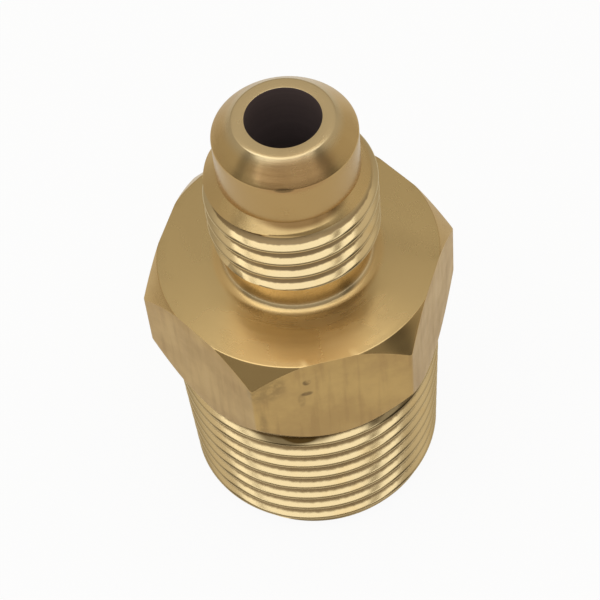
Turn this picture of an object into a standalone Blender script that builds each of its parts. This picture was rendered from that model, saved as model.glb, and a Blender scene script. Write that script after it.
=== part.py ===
# Male flare to tapered pipe connector, turned, drilled and threaded from one length of hexagon brass bar.
# Origin: centre of the pipe end face. +Z runs along the bore to the flare nose. Flats face +Y and -Y.
import math

import bmesh
import bpy

mm = 0.001

# pipe end: the shank that carries the tapered pipe thread
pipe_start_d = 16.72 * mm  # over the crests, where the lead-in ends
pipe_taper = 1 / 16  # gain in diameter along the axis
pipe_length = 12.2 * mm  # end face to the underside of the hexagon
pipe_lead = 0.7 * mm  # 45 degree lead-in at the end face
pipe_pitch = 1.411 * mm  # 18 turns to the inch
pipe_start_turn = 0.905  # where the thread begins, as a share of a turn
pipe_crest = 1 / 16  # flat on the crests, as a share of the pitch
pipe_root = 1 / 12  # flat in the roots
pipe_runout = 1.4 * mm  # the grooves grow shallow over this height under the hexagon

# hexagon
flat_margin = 0.03 * mm  # flats clear the largest radius of the pipe shank
hex_height = 8.1 * mm  # pipe shank to the edge of the shoulder
under_angle = math.radians(61.5)  # chamfer under the corners
corner_angle = math.radians(46)  # chamfer over the corners
blank_margin = 0.3 * mm  # turned blank stands outside the corners before the flats are cut

# shoulder between the hexagon and the neck
edge_margin = 0.16 * mm  # the shoulder's edge circle runs outside the middle of each flat
shoulder_angle = math.radians(3.2)  # fall towards the edge
neck_fillet = 0.35 * mm

# flare end
flare_thread_d = 10.7 * mm  # over the crests
flare_thread_length = 4.33 * mm
flare_pitch = 1.27 * mm  # 20 turns to the inch
flare_start_turn = 0.32
flare_crest = 1 / 8
flare_root = 1 / 5
neck_depth = 0.75 * mm  # undercut below the crests
neck_length = 1.83 * mm  # fillet to run-out
nose_d = 8.75 * mm
nose_length = 3.07 * mm  # straight part under the seat
rim_d = 6.05 * mm  # flat ring round the bore
seat_angle = math.radians(45)  # half angle of the flare seat

flank_angle = math.radians(30)  # both threads have a 60 degree vee

# bore
flare_bore_d = 4.6 * mm
pipe_bore_d = 10.5 * mm
pipe_bore_break = 0.4 * mm  # 45 degree break at the end face
bore_floor = 2.6 * mm  # end of the wide bore to the level of the shoulder's edge
drill_half_angle = math.radians(59)

turn_steps = 60
fillet_steps = 4
weld = 0.001 * mm  # points nearer than this become one
sharp_angle = math.radians(18)

pipe_start_r = pipe_start_d / 2
pipe_end_r = pipe_start_r - pipe_lead
pipe_slope = pipe_taper / 2
pipe_top_r = pipe_start_r + (pipe_length - pipe_lead) * pipe_slope
flat_r = pipe_top_r + flat_margin
corner_r = flat_r / math.cos(math.pi / 6)
blank_r = corner_r + blank_margin
edge_r = flat_r + edge_margin
thread_r = flare_thread_d / 2
neck_r = thread_r - neck_depth
nose_r = nose_d / 2
rim_r = rim_d / 2
flare_bore_r = flare_bore_d / 2
pipe_bore_r = pipe_bore_d / 2

edge_z = pipe_length + hex_height
foot_r = neck_r + neck_fillet * (1 - math.sin(shoulder_angle))
foot_z = edge_z + (edge_r - foot_r) * math.tan(shoulder_angle)
neck_z = foot_z + neck_fillet * math.cos(shoulder_angle)
runout_z = neck_z + neck_length
thread_z = runout_z + neck_depth
lead_z = thread_z + flare_thread_length
nose_z = lead_z + thread_r - nose_r
seat_z = nose_z + nose_length
tip_z = seat_z + (nose_r - rim_r) / math.tan(seat_angle)
wide_z = edge_z - bore_floor
narrow_z = wide_z + (pipe_bore_r - flare_bore_r) / math.tan(drill_half_angle)


def radius_at(outline, z):
    """Radius of an outline that runs from top to bottom."""
    for (upper_r, upper_z), (lower_r, lower_z) in zip(outline, outline[1:]):
        if z >= lower_z:
            return upper_r + (lower_r - upper_r) * (upper_z - z) / (upper_z - lower_z)
    return outline[-1][0]


def threaded(outline, pitch, start_turn, crest, root, slope, runout, angle):
    """Section of a threaded stretch at one angle. The rows climb with the right-hand helix."""
    top = outline[0][1]
    foot = outline[-1][1]
    crest_r, crest_z = outline[1]
    flank_top = crest / 2
    flank_foot = (1 - root) / 2
    points = []
    first = math.ceil(top / pitch) + 1  # the rows climb one pitch, so the turns overlap both ends
    last = math.floor(foot / pitch) - 2
    for turn in range(first, last - 1, -1):
        for edge in (1 - flank_top, 1 - flank_foot, flank_foot, flank_top):
            z = (turn + edge - start_turn + angle / math.tau) * pitch
            z = min(max(z, foot), top)
            turns = z / pitch + start_turn - angle / math.tau
            from_crest = min(max(abs(turns - round(turns)), flank_top), flank_foot)
            depth = (from_crest - flank_top) * pitch / math.tan(flank_angle)
            depth *= min((top - z) / runout, 1)
            points.append((min(radius_at(outline, z), crest_r + (z - crest_z) * slope - depth), z))
    return points


def neck_arc():
    """Points of the fillet, from the straight neck down to the shoulder."""
    points = []
    for step in range(fillet_steps + 1):
        turn = math.pi + (math.pi / 2 - shoulder_angle) * step / fillet_steps
        r = neck_r + neck_fillet * (1 + math.cos(turn))
        points.append((r, neck_z + neck_fillet * math.sin(turn)))
    return points


def section(angle):
    """Radius and height round the section at one angle: down the outside, then up the bore."""
    nose = [(rim_r, tip_z), (nose_r, seat_z)]
    flare = [(nose_r, nose_z), (thread_r, lead_z), (thread_r, thread_z), (neck_r, runout_z)]
    blank = [
        (edge_r, edge_z),
        (blank_r, edge_z - (blank_r - edge_r) * math.tan(corner_angle)),
        (blank_r, pipe_length + (blank_r - pipe_top_r) * math.tan(under_angle)),
    ]
    pipe = [(pipe_top_r, pipe_length), (pipe_start_r, pipe_lead), (pipe_end_r, 0)]
    bore = [
        (pipe_bore_r + pipe_bore_break, 0),
        (pipe_bore_r, pipe_bore_break),
        (pipe_bore_r, wide_z),
        (flare_bore_r, narrow_z),
        (flare_bore_r, tip_z),
    ]
    flare_lead = nose_z - lead_z
    flare_rows = threaded(
        flare, flare_pitch, flare_start_turn, flare_crest, flare_root, 0, flare_lead, angle
    )
    pipe_rows = threaded(
        pipe, pipe_pitch, pipe_start_turn, pipe_crest, pipe_root, pipe_slope, pipe_runout, angle
    )
    return nose + flare_rows + neck_arc() + blank + pipe_rows + bore


def linked(name, mesh):
    obj = bpy.data.objects.new(name, mesh)
    bpy.context.collection.objects.link(obj)
    return obj


def lofted(name, steps):
    """The closed section carried once round Z. Rows that meet at the seam or a thread's end are merged."""
    bm = bmesh.new()
    rings = []
    for step in range(steps + 1):
        angle = math.tau * step / steps
        rings.append([
            bm.verts.new((r * math.cos(angle), r * math.sin(angle), z)) for r, z in section(angle)
        ])
    for here, there in zip(rings, rings[1:]):
        for i in range(len(here)):
            bm.faces.new((here[i - 1], here[i], there[i], there[i - 1]))
    bmesh.ops.remove_doubles(bm, verts=bm.verts, dist=weld)
    bmesh.ops.triangulate(bm, faces=bm.faces)
    mesh = bpy.data.meshes.new(name)
    bm.to_mesh(mesh)
    bm.free()
    return linked(name, mesh)


def hex_bar(name, across_corners_r, bottom, top):
    """The bar stock that leaves the six flats."""
    bm = bmesh.new()
    corners = [math.tau * k / 6 for k in range(6)]
    ring = [
        bm.verts.new((across_corners_r * math.cos(a), across_corners_r * math.sin(a), bottom))
        for a in corners
    ]
    base = bm.faces.new(ring)
    grown = bmesh.ops.extrude_face_region(bm, geom=[base])["geom"]
    raised = [item for item in grown if isinstance(item, bmesh.types.BMVert)]
    bmesh.ops.translate(bm, verts=raised, vec=(0, 0, top - bottom))
    bmesh.ops.recalc_face_normals(bm, faces=bm.faces)
    mesh = bpy.data.meshes.new(name)
    bm.to_mesh(mesh)
    bm.free()
    obj = linked(name, mesh)
    obj.hide_render = True
    obj.display_type = "WIRE"
    return obj


def brass():
    material = bpy.data.materials.new("brass")
    material.use_nodes = True
    shader = material.node_tree.nodes["Principled BSDF"]
    shader.inputs["Base Color"].default_value = (0.68, 0.47, 0.2, 1)
    shader.inputs["Metallic"].default_value = 1
    shader.inputs["Roughness"].default_value = 0.32
    return material


for old in list(bpy.data.objects):
    bpy.data.objects.remove(old)

body = lofted("fitting_body", turn_steps)
bar = hex_bar("hex_bar_stock", corner_r, -pipe_length, tip_z + pipe_length)
flats = body.modifiers.new("flats", "BOOLEAN")
flats.operation = "INTERSECT"
flats.solver = "EXACT"
flats.object = bar
body.data.materials.append(brass())

finished = bpy.data.meshes.new_from_object(body.evaluated_get(bpy.context.evaluated_depsgraph_get()))
body.modifiers.clear()
body.data = finished
finished.shade_smooth()
finished.set_sharp_from_angle(angle=sharp_angle)
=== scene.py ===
import math

import bmesh
import bpy
from mathutils import Matrix, Vector


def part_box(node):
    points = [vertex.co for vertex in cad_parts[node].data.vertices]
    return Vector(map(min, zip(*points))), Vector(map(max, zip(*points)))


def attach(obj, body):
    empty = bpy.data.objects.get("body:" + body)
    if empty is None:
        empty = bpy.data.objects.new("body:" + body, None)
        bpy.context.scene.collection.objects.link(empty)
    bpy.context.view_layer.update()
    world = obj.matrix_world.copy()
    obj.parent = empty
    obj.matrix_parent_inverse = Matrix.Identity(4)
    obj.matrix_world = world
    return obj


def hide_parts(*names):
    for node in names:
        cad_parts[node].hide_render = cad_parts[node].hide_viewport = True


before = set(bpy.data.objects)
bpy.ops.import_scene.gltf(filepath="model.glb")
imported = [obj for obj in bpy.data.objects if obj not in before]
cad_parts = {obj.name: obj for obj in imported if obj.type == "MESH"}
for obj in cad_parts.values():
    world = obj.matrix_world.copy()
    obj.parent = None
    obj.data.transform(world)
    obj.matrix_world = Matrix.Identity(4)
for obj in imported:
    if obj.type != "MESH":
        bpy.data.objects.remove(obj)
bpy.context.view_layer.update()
scene = bpy.context.scene
scene.view_settings.view_transform = "Standard"
mm = 0.001


class Wire:  # one output socket, so that node maths reads as arithmetic
    def __init__(self, tree, socket):
        self.tree = tree
        self.socket = socket

    @staticmethod
    def make(tree, kind, settings=None, sockets=None, out=0):  # any node: settings, then values or links
        node = tree.nodes.new(kind)
        for name, value in (settings or {}).items():
            setattr(node, name, value)
        for name, value in (sockets or {}).items():
            if isinstance(value, Wire):
                tree.links.new(value.socket, node.inputs[name])
            else:
                node.inputs[name].default_value = value
        return Wire(tree, node.outputs[out]) if len(node.outputs) else node

    def of(self, out):  # another output of the same node
        return Wire(self.tree, self.socket.node.outputs[out])

    def into(self, socket):
        self.tree.links.new(self.socket, socket)

    def calc(self, operation, *values):
        return Wire.make(self.tree, "ShaderNodeMath", {"operation": operation}, dict(enumerate(values)))

    def __add__(self, other):
        return self.calc("ADD", self, other)

    def __radd__(self, other):
        return self.calc("ADD", other, self)

    def __sub__(self, other):
        return self.calc("SUBTRACT", self, other)

    def __rsub__(self, other):
        return self.calc("SUBTRACT", other, self)

    def __mul__(self, other):
        return self.calc("MULTIPLY", self, other)

    def __rmul__(self, other):
        return self.calc("MULTIPLY", other, self)

    def __truediv__(self, other):
        return self.calc("DIVIDE", self, other)

    def __abs__(self):
        return self.calc("ABSOLUTE", self)

    def least(self, other):
        return self.calc("MINIMUM", self, other)

    def most(self, other):
        return self.calc("MAXIMUM", self, other)

    def fract(self):
        return self.calc("FRACT", self)

    def root(self):
        return self.calc("SQRT", self)

    def ramp(self, low, high):  # 0 at low, 1 at high, eased and clamped
        step = ((self - low) / (high - low)).most(0).least(1)
        return step * step * (3 - 2 * step)

    def above(self, level, edge):  # 1 past the level, with a soft edge on both sides of it
        return self.ramp(level - edge, level + edge)

    def below(self, level, edge):
        return 1 - self.above(level, edge)


# camera, fitted to the photograph: millimetres, degrees, and the focal length in pixels of the frame
shot = {
    "eye": (0, -80.86, 126.89), "aim": (-0.22, 0, 15.04), "turn": -8, "roll": -6.55,
    "focal": 2128.5, "frame": 600, "sensor": 36, "nearest": 5,
}
swing = Matrix.Rotation(math.radians(shot["turn"]), 4, "Z")  # the front is the camera's side


def placeCamera(shot):
    eye = swing @ (Vector(shot["eye"]) * mm)
    aim = swing @ (Vector(shot["aim"]) * mm)
    look = (aim - eye).to_track_quat("-Z", "Y").to_matrix().to_4x4()
    data = bpy.data.cameras.new("camera")
    data.sensor_width = shot["sensor"]
    data.lens = shot["sensor"] * shot["focal"] / shot["frame"]
    data.clip_start = shot["nearest"] * mm
    camera = bpy.data.objects.new("camera", data)
    scene.collection.objects.link(camera)
    camera.matrix_world = Matrix.Translation(eye) @ look @ Matrix.Rotation(math.radians(shot["roll"]), 4, "Z")
    scene.camera = camera


placeCamera(shot)
print("camera placed")

# the fitting, in millimetres and degrees; the overall sizes come from the CAD node
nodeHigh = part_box("fitting_body")[1]
sliver = 0.01  # a hair's breadth: the limits of a cut fall beside a row, never on it
body = {
    "tip": nodeHigh[2] / mm, "flatR": nodeHigh[1] / mm,
    "boreR": 2.3, "rimR": 3.04, "rimRound": 0.3, "noseR": 4.375, "noseRound": 0.2, "noseLength": 3.07,
    "crease": 0.07, "creaseHeight": 0.1,  # fine groove under the nose
    "threadR": 5.35, "leadDrop": 0.9, "runout": 22.68,
    "neckR": 4.61, "collar": 0.2, "neckWaist": 0.05, "neckFillet": 0.75,  # the collar is under the run-out
    "edge": 20.42, "edgeR": 8.9, "edgeInset": 0.03, "edgeRound": 0.13, "shoulderFall": 2,
    "cornerRound": 0.22, "cornerAngle": 51, "flatTopRound": 0.1, "underAngle": 61.5, "flatFootRound": 0.08,
    "pipeLength": 12.2, "pipeTopR": 8.72, "pipeTaper": 1 / 32, "pipeLead": 0.5, "ledge": 0.015,
    "pipeBoreR": 5.25, "pipeBoreBreak": 0.4, "wideTop": 17.7, "drillAngle": 59, "drillRound": 0.2,
    "breakRound": 0.03, "boreRound": 0.05, "stepRound": 0.1,
    "boreSeam": 0.2,  # above the step: the section starts and ends there
    "columnsPerFlat": 40, "columnBunch": 0.78, "weld": 0.0005, "sharpAngle": 50,
}
# marks, here and in the finishes: heading, height, half width, half height and strength
flareThread = {
    "name": "flareThread", "pitch": 1.27, "crestR": body["threadR"], "taper": 0, "depth": 0.74,
    "crestRound": 0.12, "rootFlat": 0.16, "startTurn": 0.32,
    "vanish": (40, 41),  # above the nose, so that no groove grows shallow
    "rootShade": (0.33, 0.42), "shadeSpan": (23, 27.7),
    "marks": ((-91, 28.82, 3.7, 0.45, 0.85),), "shadeColour": (0.2, 0.105, 0.036, 1),  # painted shade in the corner under the nose
}
pipeThread = {
    "name": "pipeThread", "pitch": 1.411, "taper": body["pipeTaper"], "depth": 1.04,
    "crestR": body["pipeTopR"] - body["pipeLength"] * body["pipeTaper"],
    "crestRound": 0.1, "rootFlat": 0.06, "startTurn": 0.905, "vanish": (12.3, 13.4),
    "rootShade": (0.28, 0.44), "shadeSpan": (0.6, 13),
    # painted shade: dark ovals in the grooves under the hexagon's edge
    "marks": ((-115, 11.35, 2.6, 0.5, 0.85), (-103, 11.5, 2.4, 0.42, 0.8), (-61, 11.45, 3, 0.45, 0.8)),
    "shadeColour": (0.05, 0.028, 0.008, 1),  # painted shade under the hexagon
}


def columnAngles(b):  # columns bunch up at the hexagon's corners; the last one closes the turn
    count = b["columnsPerFlat"]
    angles = []
    for side in range(6):
        for k in range(count):
            u = k / count
            angles.append((side + u - b["columnBunch"] * math.sin(math.tau * u) / math.tau) * math.pi / 3)
    return angles + [math.tau]


def hexRadius(b, angle):  # hexagon with rounded corners; corners at 0, 60, 120 degrees
    halfSide = math.pi / 6
    fromCorner = abs((angle + halfSide) % (2 * halfSide) - halfSide)
    rounding = b["cornerRound"]
    centre = (b["flatR"] - rounding) / math.cos(halfSide)
    reach = math.atan2(rounding * math.sin(halfSide), centre + rounding * math.cos(halfSide))
    if fromCorner < reach:
        return centre * math.cos(fromCorner) + math.sqrt(rounding ** 2 - (centre * math.sin(fromCorner)) ** 2)
    return b["flatR"] / math.cos(halfSide - fromCorner)


# a corner is radius, height, rounding, and the rows and finish of the stretch after it
def softened(corners, arcSteps=4, mostTrim=0.45):
    spots = [Vector(corner[:2]) for corner in corners]
    trims = [0]
    for i in range(1, len(corners) - 1):
        back = spots[i - 1] - spots[i]
        onward = spots[i + 1] - spots[i]
        trim = corners[i][2] / math.tan(back.angle(onward) / 2)
        trims.append(min(trim, mostTrim * back.length, mostTrim * onward.length))
    trims.append(0)
    rows = []
    for i, (r, z, rounding, count, finish) in enumerate(corners):
        leave = spots[i]
        if rounding:
            enter = spots[i] + (spots[i - 1] - spots[i]).normalized() * trims[i]
            leave = spots[i] + (spots[i + 1] - spots[i]).normalized() * trims[i]
            for k in range(arcSteps):  # quadratic arc round the corner
                t = k / arcSteps
                point = enter * (1 - t) ** 2 + spots[i] * 2 * t * (1 - t) + leave * t * t
                rows.append((point, finish if 2 * k >= arcSteps else corners[i - 1][4]))
        rows.append((leave, finish))
        if i + 1 < len(corners):
            stop = spots[i + 1] + (spots[i] - spots[i + 1]).normalized() * trims[i + 1]
            rows += [(leave.lerp(stop, k / count), finish) for k in range(1, count)]
    return rows


# rows that follow the helix, held between the envelope's two ends
def threadRows(cut, envelope, angle, finish, ease=0.012, spareTurns=3):
    top, foot = envelope[0][1], envelope[-1][1]
    crest, root = cut["crestRound"], 0.5 - cut["rootFlat"] / 2
    half = [0.25 * crest, 0.5 * crest, 0.75 * crest, crest, 0.5 * (crest + root), root - ease, root + ease]
    shares = sorted([0, 0.5] + half + [1 - share for share in half], reverse=True)
    first = int(top / cut["pitch"] + cut["startTurn"]) + 1
    last = int(foot / cut["pitch"]) - spareTurns
    rows = []
    for whole in range(first, last, -1):
        for share in shares:
            z = (whole + share - cut["startTurn"] + angle / math.tau) * cut["pitch"]
            z = min(max(z, foot), top)
            for (upperR, upperZ), (lowerR, lowerZ) in zip(envelope, envelope[1:]):
                if z >= lowerZ:
                    break
            t = (upperZ - z) / (upperZ - lowerZ)
            rows.append((Vector((upperR + (lowerR - upperR) * t, z)), finish))
    return rows


def noseFoot(b):  # where the straight nose meets the lead-in of the thread
    return b["tip"] - (b["noseR"] - b["rimR"]) - b["noseLength"]


def bodyRows(b, angle):  # section at one angle: down the outside, then up the bore
    foot = noseFoot(b)
    hexR = hexRadius(b, angle)
    fall = math.tan(math.radians(b["shoulderFall"]))
    edgeR = min(b["edgeR"], hexR - b["edgeInset"])
    flatTop = b["edge"] + (b["edgeR"] - min(hexR, b["edgeR"])) * fall
    flatTop -= max(hexR - b["edgeR"], 0) * math.tan(math.radians(b["cornerAngle"]))
    flatFoot = b["pipeLength"] + (hexR - b["pipeTopR"]) * math.tan(math.radians(b["underAngle"]))
    pipeStartR = b["pipeTopR"] - (b["pipeLength"] - b["pipeLead"]) * b["pipeTaper"]
    pipeEndR = pipeStartR - b["pipeLead"]
    narrowFoot = b["wideTop"] + (b["pipeBoreR"] - b["boreR"]) / math.tan(math.radians(b["drillAngle"]))
    creaseR = b["noseR"] - b["crease"]
    collar = (b["neckR"] - sliver, b["runout"] - b["collar"])
    neckFoot = (b["neckR"] - b["neckWaist"], b["edge"] + (b["edgeR"] - b["neckR"]) * fall)
    nose = [
        (b["boreR"], narrowFoot + b["boreSeam"], 0, 10, "bore"),
        (b["boreR"], b["tip"], b["breakRound"], 2, "turned"),
        (b["rimR"], b["tip"], b["rimRound"], 4, "turned"),
        (b["noseR"], foot + b["noseLength"], b["noseRound"], 4, "turned"),
        (b["noseR"], foot + b["creaseHeight"], b["breakRound"], 1, "turned"),
        (creaseR, foot, 0, 1, "turned"),
    ]
    flare = [
        (creaseR, foot),
        (b["threadR"], foot - b["leadDrop"]),
        (b["threadR"], b["runout"] + b["threadR"] - b["neckR"]),
        (b["neckR"], b["runout"]),
        collar,
    ]
    hexagon = [
        (*collar, 0, 3, "turned"),
        (*neckFoot, b["neckFillet"], 6, "turned"),
        (edgeR, b["edge"] + (b["edgeR"] - edgeR) * fall, b["edgeRound"], 3, "turned"),
        (hexR, flatTop, b["flatTopRound"], 7, "drawn"),
        (hexR, flatFoot, b["flatFootRound"], 3, "turned"),
        (b["pipeTopR"], b["pipeLength"], 0, 1, "turned"),
    ]
    pipe = [(b["pipeTopR"], b["pipeLength"] - b["ledge"]), (pipeStartR, b["pipeLead"]), (pipeEndR, 0)]
    bore = [
        (pipeEndR, 0, 0, 3, "turned"),
        (b["pipeBoreR"] + b["pipeBoreBreak"], 0, b["boreRound"], 1, "turned"),
        (b["pipeBoreR"], b["pipeBoreBreak"], b["boreRound"], 6, "bore"),
        (b["pipeBoreR"], b["wideTop"], b["drillRound"], 4, "bore"),
        (b["boreR"], narrowFoot, b["stepRound"], 1, "bore"),
        (b["boreR"], narrowFoot + b["boreSeam"], 0, 1, "bore"),
    ]
    return (softened(nose) + threadRows(flareThread, flare, angle, "turned") + softened(hexagon)
            + threadRows(pipeThread, pipe, angle, "turned") + softened(bore))


def fittingBlank(name, b, finishOrder):  # turned, drilled and flatted, with the threads still to be cut
    mesh = bmesh.new()
    columns = []
    for angle in columnAngles(b):
        rows = bodyRows(b, angle)
        across, along = math.cos(angle) * mm, math.sin(angle) * mm
        columns.append([mesh.verts.new((p.x * across, p.x * along, p.y * mm)) for p, finish in rows])
    rowFinishes = [finishOrder.index(finish) for point, finish in rows]  # the same in every column
    for here, there in zip(columns, columns[1:]):
        for i, finish in enumerate(rowFinishes):
            below = (i + 1) % len(rowFinishes)
            face = mesh.faces.new((here[i], here[below], there[below], there[i]))
            face.material_index = finish
            face.smooth = True
    bmesh.ops.remove_doubles(mesh, verts=mesh.verts, dist=b["weld"] * mm)
    print("open edges:", sum(not edge.is_manifold for edge in mesh.edges))
    blank = bpy.data.objects.new(name, bpy.data.meshes.new(name))
    mesh.to_mesh(blank.data)
    mesh.free()
    scene.collection.objects.link(blank)
    return blank


def threadCutter(name, shankDepths=1.6):  # leaves the smaller of the blank's radius and the helical groove's
    tree = bpy.data.node_groups.new(name, "GeometryNodeTree")
    tree.interface.new_socket("Geometry", in_out="INPUT", socket_type="NodeSocketGeometry")
    for label in ("Pitch", "Crest Radius", "Taper", "Depth", "Crest Round", "Root Flat", "Start Turn",
                  "Low End", "High End", "Vanish From", "Vanish To"):
        tree.interface.new_socket(label, in_out="INPUT", socket_type="NodeSocketFloat")
    tree.interface.new_socket("Thread Finish", in_out="INPUT", socket_type="NodeSocketMaterial")
    tree.interface.new_socket("Geometry", in_out="OUTPUT", socket_type="NodeSocketGeometry")
    given = Wire.make(tree, "NodeGroupInput")
    place = Wire.make(tree, "GeometryNodeInputPosition")
    x = Wire.make(tree, "ShaderNodeSeparateXYZ", None, {0: place})
    y, z = x.of("Y"), x.of("Z")
    radius = (x * x + y * y).root().most(1e-6)  # never zero, because it divides
    turn = y.calc("ARCTAN2", y, x) / math.tau
    turns = z / given.of("Pitch") - turn + given.of("Start Turn")
    along = turns.fract()
    toRoot = 1 - abs(2 * along - 1)  # 0 on the crest, 1 in the root
    curve = given.of("Crest Round")
    onCurve = toRoot.least(2 * curve)  # a parabola over the crest runs into the straight flank
    fall = onCurve * onCurve / (4 * curve) + (toRoot - 2 * curve).most(0)
    groove = (fall / (1 - curve - given.of("Root Flat"))).least(1)
    rootZ = (turns - along + 0.5 - given.of("Start Turn") + turn) * given.of("Pitch")
    lift = rootZ.ramp(given.of("Vanish From"), given.of("Vanish To"))  # the last groove climbs out of the bar
    helix = given.of("Crest Radius") + z * given.of("Taper") - (groove - lift).most(0) * given.of("Depth")
    inside = z.calc("GREATER_THAN", z, given.of("Low End")) * z.calc("LESS_THAN", z, given.of("High End"))
    shrink = 1 + (radius.least(helix) / radius - 1) * inside
    moved = Wire.make(tree, "ShaderNodeCombineXYZ", None, {"X": x * shrink, "Y": y * shrink, "Z": z})
    grooved = Wire.make(tree, "GeometryNodeSetPosition", None,
                        {"Geometry": given.of("Geometry"), "Position": moved})
    real = Wire.make(tree, "GeometryNodeRealizeInstances", None, {"Geometry": grooved})
    shankR = given.of("Crest Radius") - shankDepths * given.of("Depth")  # the bore lies inside it
    onShank = inside * radius.calc("GREATER_THAN", radius, shankR)
    finished = Wire.make(tree, "GeometryNodeSetMaterial", None,
                         {"Geometry": real, "Selection": onShank, "Material": given.of("Thread Finish")})
    Wire.make(tree, "NodeGroupOutput", None, {"Geometry": finished})
    return tree


def cutThread(blank, cutter, cut, low, high, finish):
    tool = blank.modifiers.new(cut["name"], "NODES")
    tool.node_group = cutter
    values = {
        "Pitch": cut["pitch"] * mm, "Crest Radius": cut["crestR"] * mm, "Taper": cut["taper"],
        "Depth": cut["depth"] * mm, "Crest Round": cut["crestRound"], "Root Flat": cut["rootFlat"],
        "Start Turn": cut["startTurn"], "Low End": low * mm, "High End": high * mm,
        "Vanish From": cut["vanish"][0] * mm, "Vanish To": cut["vanish"][1] * mm, "Thread Finish": finish,
    }
    for item in cutter.interface.items_tree:
        if item.in_out == "INPUT" and item.name in values:
            value = values[item.name]
            tool[item.identifier] = float(value) if isinstance(value, int) else value


def plainMesh(obj):  # modifiers into the mesh, nothing live left
    mesh = bpy.data.meshes.new_from_object(obj.evaluated_get(bpy.context.evaluated_depsgraph_get()))
    obj.modifiers.clear()
    obj.data = mesh


def newMaterial(name):
    material = bpy.data.materials.new(name)
    material.use_nodes = True
    tree = material.node_tree
    tree.nodes.clear()
    shader = tree.nodes.new("ShaderNodeBsdfPrincipled")
    output = tree.nodes.new("ShaderNodeOutputMaterial")
    tree.links.new(shader.outputs[0], output.inputs["Surface"])
    return material, tree, shader


def vectorCalc(tree, operation, **sockets):
    names = {"a": 0, "b": 1, "scale": "Scale"}
    return Wire.make(tree, "ShaderNodeVectorMath", {"operation": operation},
                     {names[key]: value for key, value in sockets.items()})


def combine(tree, x, y, z):
    return Wire.make(tree, "ShaderNodeCombineXYZ", None, {"X": x, "Y": y, "Z": z})


def objectMillimetres(tree):  # position, its parts and the distance from the axis
    spot = Wire.make(tree, "ShaderNodeTexCoord", None, None, "Object")
    spot = vectorCalc(tree, "SCALE", a=spot, scale=1 / mm)
    x = Wire.make(tree, "ShaderNodeSeparateXYZ", None, {0: spot})
    y, z = x.of("Y"), x.of("Z")
    return spot, x, y, z, (x * x + y * y).root()


def noise(tree, vector, scale, detail=3.0, roughness=0.5):
    return Wire.make(tree, "ShaderNodeTexNoise", None,
                     {"Vector": vector, "Scale": scale, "Detail": detail, "Roughness": roughness})


def mixColour(tree, factor, first, second):
    return Wire.make(tree, "ShaderNodeMix", {"data_type": "RGBA"}, {"Factor": factor, 6: first, 7: second}, 2)


def bumpFrom(tree, height, strength):
    return Wire.make(tree, "ShaderNodeBump", None,
                     {"Strength": strength, "Distance": brass["bumpHeight"] * mm, "Height": height})


def marksOver(x, y, z, r, marks, solidShare=0.5):  # soft ovals, solid out to a share of their size
    turn = y.calc("ARCTAN2", y, x)
    total = 0.0
    for heading, height, halfWidth, halfHeight, strength in marks:
        across = turn.calc("SINE", (turn - math.radians(heading)) * 0.5) * 2 * r / halfWidth
        along = (z - height) / halfHeight
        total = total + (1 - (across * across + along * along).root().ramp(solidShare, 1.0)) * strength
    return total


def ringNormal(tree, x, y, r, slope):  # tool rings lean it up and down the section, never round the axis
    normal = Wire.make(tree, "ShaderNodeNewGeometry", None, None, "Normal")
    around = combine(tree, y / r * -1, x / r, 0.0)
    upward = vectorCalc(tree, "CROSS_PRODUCT", a=around, b=normal)
    leaned = vectorCalc(tree, "ADD", a=normal, b=vectorCalc(tree, "SCALE", a=upward, scale=slope))
    return vectorCalc(tree, "NORMALIZE", a=leaned)


# shared by the finishes; heights and radii in the finishes are millimetres
brass = {
    # the dark colour serves real stains on the flats and a nick on the nose, and painted shade in the thread
    # roots and on the shoulder
    "clean": (0.6, 0.42, 0.19, 1), "tarnish": (0.48, 0.315, 0.13, 1), "dirtAndShade": (0.18, 0.116, 0.053, 1),
    "roughness": 0.2, "bumpHeight": 0.01,
}

turned = {
    "ringFine": 150.0, "ringCoarse": 3.0, "ringLean": 0.15, "ringWave": 0.03, "ringRough": 0.08,
    "dullScale": 0.32, "dullShift": (-4, -1.5, 0), "dullSpan": (0.4, 0.7), "dullShade": 0.5,
    # the marks below darken the shoulder's edge and the corner facets on both sides of the front: tarnish and
    # painted shade
    "dullRough": 0.08, "tarnishAndShade": ((-38, 20.4, 5, 1.4, 0.45), (-162, 20.4, 4.5, 1.4, 0.4)),
    "nose": (28.7, 31.8), "noseShade": 0.7, "softEdge": 0.1,
    "worn": (0.6, 0.5, 0.32, 1), "rim": (32.5, 33.1), "rimWear": 0.6,
    "face": (0.52, 0.388, 0.19, 1), "faceTop": 20.75, "faceR": 8.88, "faceEdge": 0.05,  # the shoulder
    "faceStart": (5.2, 5.6), "faceCover": 0.85, "faceRough": 0.06,
    "faceLean": 0.04, "faceTilt": 0.065, "tiltStart": (5.05, 5.7),
    # painted reflection: a warmer sector on the front of the shoulder stands in for the neck and threads
    # mirrored there
    "reflectionColour": (0.7, 0.455, 0.19, 1), "paintedReflection": ((-103.5, 20.5, 5.6, 1.6, 0.6),),
    # painted shade: the right of the shoulder, seen from the front, is darkened
    "shaded": ((-38, 20.6, 5, 1.5, 0.17),),
    "blush": (0.46, 0.272, 0.12, 1), "blushes": ((-94, 32.3, 3.3, 1.0, 0.75),),
    # painted sheen: the neck is coloured paler and brighter than clean brass, standing in for its bright
    # reflections
    "neck": (0.9, 0.73, 0.46, 1), "neckFoot": (20.66, 20.9), "neckTop": 22.8, "neckR": 5.0,
    "nicks": ((-103.5, 31.8, 0.72, 0.18, 0.8),),
}


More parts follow.
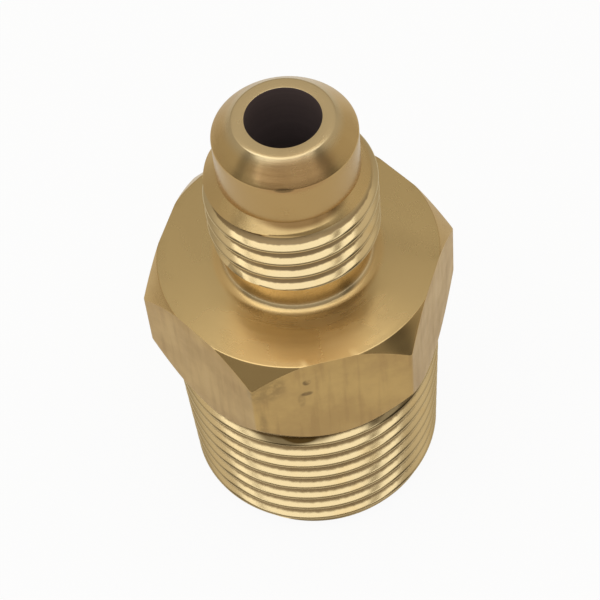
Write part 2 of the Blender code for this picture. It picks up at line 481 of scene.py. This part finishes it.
def turnedBrass(t):  # lathe work: fine rings, handled nose, a painted sheen on the neck, a faced shoulder with a painted reflection and painted shade
    material, tree, shader = newMaterial("turnedBrass")
    spot, x, y, z, r = objectMillimetres(tree)
    ring = combine(tree, r, z, 0.0)
    fine = noise(tree, ring, t["ringFine"], 1.0)
    coarse = noise(tree, ring, t["ringCoarse"], 2.0)
    moved = vectorCalc(tree, "ADD", a=spot, b=t["dullShift"])
    dull = noise(tree, moved, t["dullScale"]).ramp(*t["dullSpan"])
    # tarnish and painted shade on the corner facets on both sides of the front
    tarnishAndShade = marksOver(x, y, z, r, t["tarnishAndShade"])
    handled = z.above(t["nose"][0], t["softEdge"]) * z.below(t["nose"][1], t["softEdge"])
    tarnished = (dull * t["dullShade"]).most(handled * t["noseShade"]).most(tarnishAndShade)
    colour = mixColour(tree, tarnished, brass["clean"], brass["tarnish"])
    colour = mixColour(tree, z.ramp(*t["rim"]) * t["rimWear"], colour, t["worn"])
    faced = z.below(t["faceTop"], t["softEdge"]) * r.below(t["faceR"], t["faceEdge"])
    # painted reflection on the front of the shoulder
    face = mixColour(tree, marksOver(x, y, z, r, t["paintedReflection"]), t["face"], t["reflectionColour"])
    colour = mixColour(tree, faced * r.ramp(*t["faceStart"]) * t["faceCover"], colour, face)
    # painted shade on the right of the shoulder
    colour = mixColour(tree, marksOver(x, y, z, r, t["shaded"]), colour, brass["dirtAndShade"])
    colour = mixColour(tree, marksOver(x, y, z, r, t["blushes"]), colour, t["blush"])
    # painted sheen on the neck
    undercut = z.ramp(*t["neckFoot"]) * r.below(t["neckR"], t["softEdge"])
    colour = mixColour(tree, undercut * z.below(t["neckTop"], t["softEdge"]), colour, t["neck"])
    colour = mixColour(tree, marksOver(x, y, z, r, t["nicks"]), colour, brass["dirtAndShade"])
    colour.into(shader.inputs["Base Color"])
    rough = brass["roughness"] + (coarse - 0.5) * t["ringRough"] + dull * t["dullRough"]
    (rough + faced * t["faceRough"]).into(shader.inputs["Roughness"])
    shader.inputs["Metallic"].default_value = 1
    lean = t["ringLean"] + (t["faceLean"] - t["ringLean"]) * faced
    tilt = faced * r.ramp(*t["tiltStart"]) * t["faceTilt"]
    slope = (fine - 0.5) * lean + (coarse - 0.5) * t["ringWave"] + tilt
    ringNormal(tree, x, y, r, slope).into(shader.inputs["Normal"])
    return material


drawn = {
    "colour": (0.6, 0.41, 0.164, 1), "rougher": 0.14,
    "streakAcross": 1.7, "streakAlong": 0.16, "streakSpan": (0.5, 0.7), "streakShade": 0.5,
    "streakRough": 0.14, "streakBump": 0.12,
    "dullScale": 0.3, "dullSpan": (0.3, 0.65), "dullShade": 0.8, "dullRough": 0.06,
    "stains": ((-100.4, 18.7, 0.32, 0.36, 0.85), (-100.7, 17.5, 0.45, 0.28, 0.75),
               (-115.6, 18.9, 1.5, 1.7, 0.4), (-117.6, 14.6, 0.3, 2.4, 0.3), (-103, 16.9, 0.3, 1.0, 0.25)),
    "blotchScale": 2.2, "blotchSpan": (0.25, 0.6), "darkest": 0.8,
}


def drawnBrass(d):  # flats left from the bar: streaks along the axis
    material, tree, shader = newMaterial("drawnBrass")
    spot, x, y, z, r = objectMillimetres(tree)
    stretched = combine(tree, x * d["streakAcross"], y * d["streakAcross"], z * d["streakAlong"])
    streak = noise(tree, stretched, 1.0)
    dull = noise(tree, spot, d["dullScale"], 4.0, 0.6).ramp(*d["dullSpan"])
    tarnished = (dull * d["dullShade"] + streak.ramp(*d["streakSpan"]) * d["streakShade"]).least(1)
    colour = mixColour(tree, tarnished, d["colour"], brass["tarnish"])
    blotch = noise(tree, spot, d["blotchScale"], 4.0, 0.6).ramp(*d["blotchSpan"])
    shadeColour = (marksOver(x, y, z, r, d["stains"]) * blotch).least(d["darkest"])
    mixColour(tree, shadeColour, colour, brass["dirtAndShade"]).into(shader.inputs["Base Color"])
    rough = brass["roughness"] + d["rougher"] + (streak - 0.5) * d["streakRough"] + dull * d["dullRough"]
    rough.into(shader.inputs["Roughness"])
    shader.inputs["Metallic"].default_value = 1
    bumpFrom(tree, streak, d["streakBump"]).into(shader.inputs["Normal"])
    return material


dieCut = {
    "colour": (0.6, 0.464, 0.255, 1), "roughness": 0.13,
    "grainScale": 3.0, "grainWander": 0.12, "grainRough": 0.08, "grainBump": 0.08,
    "dullScale": 0.4, "dullSpan": (0.5, 0.75), "dullShade": 0.5, "dullRough": 0.06,
    "rootCover": 0.85, "rootRough": 0.2, "leadRough": 0.12, "spanEdge": 0.2,
}


def threadBrass(d, cut):  # flanks fresh from the die, with painted shade in the roots
    material, tree, shader = newMaterial(cut["name"] + "Brass")
    spot, x, y, z, r = objectMillimetres(tree)
    depth = cut["crestR"] + z * cut["taper"] - r
    grain = noise(tree, spot, d["grainScale"])
    dull = noise(tree, spot, d["dullScale"], 4.0, 0.6).ramp(*d["dullSpan"])
    start, stop = cut["shadeSpan"]
    started = z.ramp(start - d["spanEdge"], start)
    lead = z.ramp(stop, stop + d["spanEdge"])  # plain turned metal above the thread
    colour = mixColour(tree, (dull * d["dullShade"]).most(lead), d["colour"], brass["clean"])
    # painted shade: the thread roots are darkened where the crest above shades them
    inRoot = (depth + (grain - 0.5) * d["grainWander"]).ramp(*cut["rootShade"]) * started * (1 - lead)
    colour = mixColour(tree, inRoot * d["rootCover"], colour, brass["dirtAndShade"])
    # painted shade: dark marks where the nose and the hexagon overhang the threads
    colour = mixColour(tree, marksOver(x, y, z, r, cut["marks"]), colour, cut["shadeColour"])
    colour.into(shader.inputs["Base Color"])
    rough = d["roughness"] + (grain - 0.5) * d["grainRough"] + dull * d["dullRough"]
    rough = rough + inRoot * d["rootRough"] + lead * d["leadRough"]
    rough.into(shader.inputs["Roughness"])
    shader.inputs["Metallic"].default_value = 1
    bumpFrom(tree, grain, d["grainBump"]).into(shader.inputs["Normal"])
    return material


drilled = {
    # painted shade: the bore wall is coloured near-black, not metallic
    "dark": (0.08, 0.056, 0.054, 1), "pale": (0.135, 0.098, 0.094, 1), "ringScale": 4.0,
    "roughness": 0.55, "ringRough": 0.2,
}


def drilledBore(d):  # drilled wall, painted dark: painted shade down the bore
    material, tree, shader = newMaterial("drilledBore")
    spot, x, y, z, r = objectMillimetres(tree)
    rings = noise(tree, combine(tree, r, z, 0.0), d["ringScale"])
    mixColour(tree, rings, d["dark"], d["pale"]).into(shader.inputs["Base Color"])
    (d["roughness"] + (rings - 0.5) * d["ringRough"]).into(shader.inputs["Roughness"])
    shader.inputs["Metallic"].default_value = 0
    return material


finishes = {"turned": turnedBrass(turned), "drawn": drawnBrass(drawn), "bore": drilledBore(drilled)}
fitting = fittingBlank("fittingBody", body, list(finishes))
for finish in finishes.values():
    fitting.data.materials.append(finish)
print("blank turned:", len(fitting.data.polygons), "faces")

cutter = threadCutter("threadCutter")
flareFoot = body["runout"] - body["collar"] + sliver
flareTop = noseFoot(body) + sliver
pipeTop = body["pipeLength"] - sliver
cutThread(fitting, cutter, flareThread, flareFoot, flareTop, threadBrass(dieCut, flareThread))
cutThread(fitting, cutter, pipeThread, -sliver, pipeTop, threadBrass(dieCut, pipeThread))
plainMesh(fitting)
fitting.data.set_sharp_from_angle(angle=math.radians(body["sharpAngle"]))
print("threads cut:", len(fitting.data.vertices), "points")
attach(fitting, "root")
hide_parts("fitting_body")

# floor and light box in metres; the room's spans are parts of a unit direction: up, right or front
stage = {
    "floorSize": 1.6, "floorColour": (0.74, 0.74, 0.735, 1), "floorRough": 0.9, "floorShine": 0.1,
    "floorGlow": 0.93, "mirrorGlow": 0.275,
    "panels": ((-0.31, 0.078), (-0.054, 0.394), (0.2225, 0.085)),  # place across and width
    "boxDepth": 0.34, "boxAhead": 0.13, "boxHeight": 0.32, "boxGlow": 3.85, "boxTint": (0.88, 0.94, 1.0),
    "white": (1, 1, 1, 1), "roomTint": (1.0, 0.935, 0.8, 1),
    "low": 0.53, "middle": 0.66, "middleSpan": (0.35, 0.62), "high": 1.05, "highSpan": (0.825, 0.9),
    "topShade": 0.25, "topSpan": (0.925, 0.975),
    "sides": 0.3, "sideSpan": (0.45, 0.8), "sideRise": (0.4, 0.58),
    "rightLift": 0.17, "rightSpan": (0.6, 0.95), "rightTop": (0.35, 0.5),
    "front": (0.345, 0.475), "frontSpan": (0.0, 0.5), "frontRise": (0.5, 0.7),
    "bars": ((-76, 7, 0.5), (60, 9, 0.6)), "barEdge": 0.4, "barTop": (0.55, 0.75),  # heading, width and shade
    "spots": ((-0.137, 0.447, 0.884, 1.3), (0.118, 0.428, 0.896, 2.9)),  # right, back, up and glow
    "spotReach": 3.5,
}


def layFloor(s):
    half = s["floorSize"] / 2
    corners = [(-half, -half, 0), (half, -half, 0), (half, half, 0), (-half, half, 0)]
    mesh = bpy.data.meshes.new("floor")
    mesh.from_pydata(corners, [], [(0, 1, 2, 3)])
    floor = bpy.data.objects.new("floor", mesh)
    scene.collection.objects.link(floor)
    material, tree, shader = newMaterial("paperFloor")
    shader.inputs["Base Color"].default_value = s["floorColour"]
    shader.inputs["Roughness"].default_value = s["floorRough"]
    shader.inputs["Specular IOR Level"].default_value = s["floorShine"]
    ray = Wire.make(tree, "ShaderNodeLightPath", None, None, "Is Camera Ray")
    seen = (ray * s["floorGlow"]).most(ray.of("Is Glossy Ray") * s["mirrorGlow"])  # white where it is seen
    paper = mixColour(tree, ray, s["roomTint"], s["white"])
    glow = Wire.make(tree, "ShaderNodeEmission", None, {"Color": paper, "Strength": 1.0})
    both = Wire.make(tree, "ShaderNodeMixShader", None, {0: seen, 1: Wire(tree, shader.outputs[0]), 2: glow})
    both.into(tree.nodes["Material Output"].inputs["Surface"])
    floor.data.materials.append(material)


def hangLightBox(s):  # three panels side by side, with dark seams between them
    for across, width in s["panels"]:
        data = bpy.data.lights.new("lightPanel", "AREA")
        data.shape = "RECTANGLE"
        data.size = width
        data.size_y = s["boxDepth"]
        data.energy = s["boxGlow"] * width * s["boxDepth"]
        data.color = s["boxTint"]
        panel = bpy.data.objects.new("lightPanel", data)
        scene.collection.objects.link(panel)
        panel.matrix_world = swing @ Matrix.Translation((across, -s["boxAhead"], s["boxHeight"]))


def paintRoom(s):  # brighter overhead and at the sides, dim at the front with two darker uprights
    world = bpy.data.worlds.new("room")
    scene.world = world
    world.use_nodes = True
    tree = world.node_tree
    tree.nodes.clear()
    way = Wire.make(tree, "ShaderNodeTexCoord", None, None, "Generated")
    x = Wire.make(tree, "ShaderNodeSeparateXYZ", None, {0: way})
    y, z = x.of("Y"), x.of("Z")
    turn = math.radians(shot["turn"])
    front = x * math.sin(turn) - y * math.cos(turn)
    right = x * math.cos(turn) + y * math.sin(turn)
    level = s["low"] + (s["middle"] - s["low"]) * z.ramp(*s["middleSpan"])
    overhead = s["high"] * (1 - z.ramp(*s["topSpan"]) * s["topShade"])
    level = level + (overhead - s["middle"]) * z.ramp(*s["highSpan"])
    level = level * (1 + abs(right).ramp(*s["sideSpan"]) * z.ramp(*s["sideRise"]) * s["sides"])
    level = level * (1 + right.ramp(*s["rightSpan"]) * (1 - z.ramp(*s["rightTop"])) * s["rightLift"])
    dimLow, dimHigh = s["front"]
    dim = dimLow + (dimHigh - dimLow) * z.ramp(*s["frontRise"])
    level = level + (dim - level) * front.ramp(*s["frontSpan"])
    compass = right.calc("ARCTAN2", right, front) * math.degrees(1)
    for heading, width, shade in s["bars"]:
        bar = abs(compass - heading).below(width, width * s["barEdge"]) * (1 - z.ramp(*s["barTop"]))
        level = level * (1 - bar * shade)
    for sideways, back, up, glow in s["spots"]:  # two small bright places high at the back
        near = right * sideways - front * back + z * up
        level = level + near.ramp(math.cos(math.radians(s["spotReach"])), 1.0) * glow
    ray = Wire.make(tree, "ShaderNodeLightPath", None, None, "Is Camera Ray")
    tint = mixColour(tree, ray, s["roomTint"], s["white"])
    level = level + (s["floorGlow"] - level) * ray  # white backdrop
    light = Wire.make(tree, "ShaderNodeBackground", None, {"Color": tint, "Strength": level})
    Wire.make(tree, "ShaderNodeOutputWorld", None, {"Surface": light})


layFloor(stage)
hangLightBox(stage)
paintRoom(stage)
print("stage lit")
